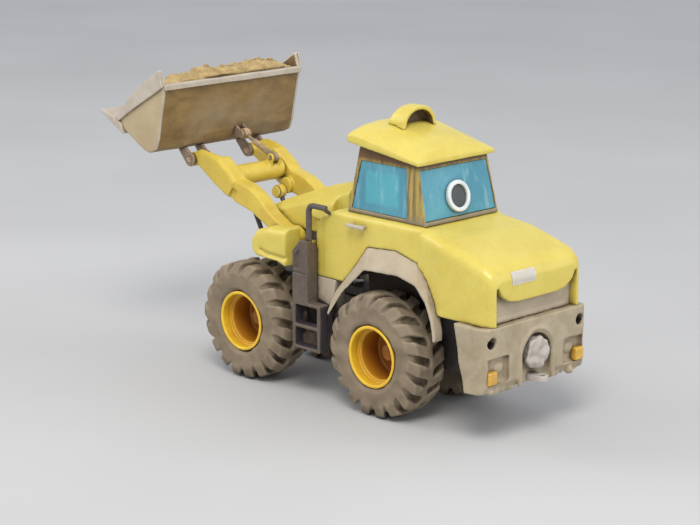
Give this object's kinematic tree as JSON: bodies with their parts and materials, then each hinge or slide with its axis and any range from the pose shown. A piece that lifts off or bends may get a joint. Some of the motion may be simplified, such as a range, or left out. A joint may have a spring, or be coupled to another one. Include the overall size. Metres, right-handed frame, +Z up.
{
  "type": "toy wheel loader",
  "caption": "Toy wheel loader with an articulated frame, raised lift arms, tilting bucket with a soil load, boxy cab with a roof scoop and chunky rolling wheels.",
  "frame": {"origin": "on the ground under the middle of the toy, bounding box bottom centre", "axes": "+X forward towards the bucket, +Y to the driver's left, +Z up"},
  "size_m": [0.393, 0.144, 0.229],
  "materials": {
    "body_yellow": "satin moulded lemon yellow",
    "arm_yellow": "satin moulded yellow",
    "trim_beige": "matt beige-grey",
    "chassis_grey": "matt dark grey",
    "step_grey": "matt brown-grey",
    "tyre_rubber": "matt tread with a dusty look",
    "rim_yellow": "satin orange-yellow",
    "steel": "plain",
    "window_teal": "glossy opaque turquoise",
    "ring_white": "glossy white",
    "disc_grey": "satin dark grey",
    "boss_grey": "light grey",
    "lamp_amber": "glossy amber",
    "bucket_tan": "matt khaki, mottled",
    "bucket_light": "worn light grey",
    "bracket_grey": "matt",
    "cylinder_steel": "bright rod",
    "cylinder_dark": "satin",
    "soil": "rough sandy earth"
  },
  "bodies": {
    "rear_frame": {"rear_chassis": "chassis_grey", "rear_axle": "steel", "rear_axle_caps": "steel", "chassis_screws": "steel", "steering_pin": "steel", "counterweight": "trim_beige", "counterweight_disc": "boss_grey", "tow_hitch": "trim_beige", "rear_lamps": "lamp_amber", "hood": "body_yellow", "rear_panel": "trim_beige", "cab_body": "body_yellow", "side_skirts": "trim_beige", "door_handles": "body_yellow", "handrails": "step_grey", "cab_frame": "step_grey", "window_rear": "window_teal", "window_front": "window_teal", "side_windows": "window_teal", "porthole_ring": "ring_white", "porthole_disc": "disc_grey", "roof": "body_yellow", "roof_scoop": "body_yellow", "rear_fender_left": "trim_beige", "rear_fender_right": "trim_beige", "ladder_left": "step_grey", "ladder_right": "step_grey"},
    "rear_left_wheel": {"tyre_rear_left": "tyre_rubber", "rim_rear_left": "rim_yellow"},
    "rear_right_wheel": {"tyre_rear_right": "tyre_rubber", "rim_rear_right": "rim_yellow"},
    "front_frame": {"front_chassis": "chassis_grey", "front_axle": "steel", "front_axle_caps": "steel", "nose_cowl": "body_yellow", "arm_pins": "steel", "lift_base_pin": "steel", "front_fender_left": "body_yellow", "front_fender_right": "body_yellow"},
    "front_left_wheel": {"tyre_front_left": "tyre_rubber", "rim_front_left": "rim_yellow"},
    "front_right_wheel": {"tyre_front_right": "tyre_rubber", "rim_front_right": "rim_yellow"},
    "lift_arms": {"lift_arm_left": "arm_yellow", "lift_arm_right": "arm_yellow", "cross_tube": "arm_yellow"},
    "lift_barrel_left": {"lift_barrel_left": "cylinder_dark"},
    "lift_rod_left": {"lift_rod_left": "cylinder_steel"},
    "lift_barrel_right": {"lift_barrel_right": "cylinder_dark"},
    "lift_rod_right": {"lift_rod_right": "cylinder_steel"},
    "bucket": {"bucket_shell": "bucket_tan", "bucket_rim": "bucket_light", "cutting_edge": "bucket_light", "side_cutters": "bucket_light", "soil_load": "soil", "bucket_brackets": "bracket_grey", "bucket_pins": "steel"},
    "tilt_barrel": {"tilt_barrel": "cylinder_dark"},
    "tilt_rod": {"tilt_rod": "cylinder_steel"}
  },
  "joints": [
    {"name": "steering", "type": "hinge", "parent": "rear_frame", "child": "front_frame", "pos_m": [-0.01345, 0, 0.057], "axis": [0, 0, 1], "range_deg": [-8, 8]},
    {"name": "rear_left_wheel_spin", "type": "hinge", "parent": "rear_frame", "child": "rear_left_wheel", "pos_m": [-0.07945, 0.037, 0.045], "axis": [0, 1, 0], "continuous": true},
    {"name": "rear_right_wheel_spin", "type": "hinge", "parent": "rear_frame", "child": "rear_right_wheel", "pos_m": [-0.07945, -0.037, 0.045], "axis": [0, 1, 0], "continuous": true},
    {"name": "front_left_wheel_spin", "type": "hinge", "parent": "front_frame", "child": "front_left_wheel", "pos_m": [0.05855, 0.037, 0.045], "axis": [0, 1, 0], "continuous": true},
    {"name": "front_right_wheel_spin", "type": "hinge", "parent": "front_frame", "child": "front_right_wheel", "pos_m": [0.05855, -0.037, 0.045], "axis": [0, 1, 0], "continuous": true},
    {"name": "arm_lift", "type": "hinge", "parent": "front_frame", "child": "lift_arms", "pos_m": [0.02655, 0, 0.11], "axis": [0, 1, 0], "range_deg": [-4, 34]},
    {"name": "bucket_tilt", "type": "hinge", "parent": "lift_arms", "child": "bucket", "pos_m": [0.13155, 0, 0.156], "axis": [0, 1, 0], "range_deg": [-5, 50]},
    {"name": "lift_barrel_left_swing", "type": "hinge", "parent": "front_frame", "child": "lift_barrel_left", "pos_m": [0.05055, 0.0155, 0.062], "axis": [0, 1, 0], "range_deg": [-2.8, 22.5]},
    {"name": "lift_rod_left_slide", "type": "slide", "parent": "lift_barrel_left", "child": "lift_rod_left", "axis": [0.4878, 0, 0.8729], "range_m": [-0.029, 0.0036]},
    {"name": "lift_barrel_right_swing", "type": "hinge", "parent": "front_frame", "child": "lift_barrel_right", "pos_m": [0.05055, -0.0155, 0.062], "axis": [0, 1, 0], "range_deg": [-2.8, 22.5]},
    {"name": "lift_rod_right_slide", "type": "slide", "parent": "lift_barrel_right", "child": "lift_rod_right", "axis": [0.4878, 0, 0.8729], "range_m": [-0.029, 0.0036]},
    {"name": "tilt_barrel_swing", "type": "hinge", "parent": "lift_arms", "child": "tilt_barrel", "pos_m": [0.09055, -0.012, 0.157], "axis": [0, 1, 0], "range_deg": [-0.6, 5.2]},
    {"name": "tilt_rod_slide", "type": "slide", "parent": "tilt_barrel", "child": "tilt_rod", "axis": [0.9247, 0, 0.3808], "range_m": [-0.0015, 0.0138]}
  ],
  "couplings": [
    {"joint": "lift_barrel_left_swing", "follows": "arm_lift", "ratio": 0.655},
    {"joint": "lift_rod_left_slide", "follows": "arm_lift", "m_per_rad": -0.04813},
    {"joint": "lift_barrel_right_swing", "follows": "arm_lift", "ratio": 0.655},
    {"joint": "lift_rod_right_slide", "follows": "arm_lift", "m_per_rad": -0.04813},
    {"joint": "tilt_barrel_swing", "follows": "bucket_tilt", "ratio": 0.1},
    {"joint": "tilt_rod_slide", "follows": "bucket_tilt", "m_per_rad": 0.015584}
  ]
}
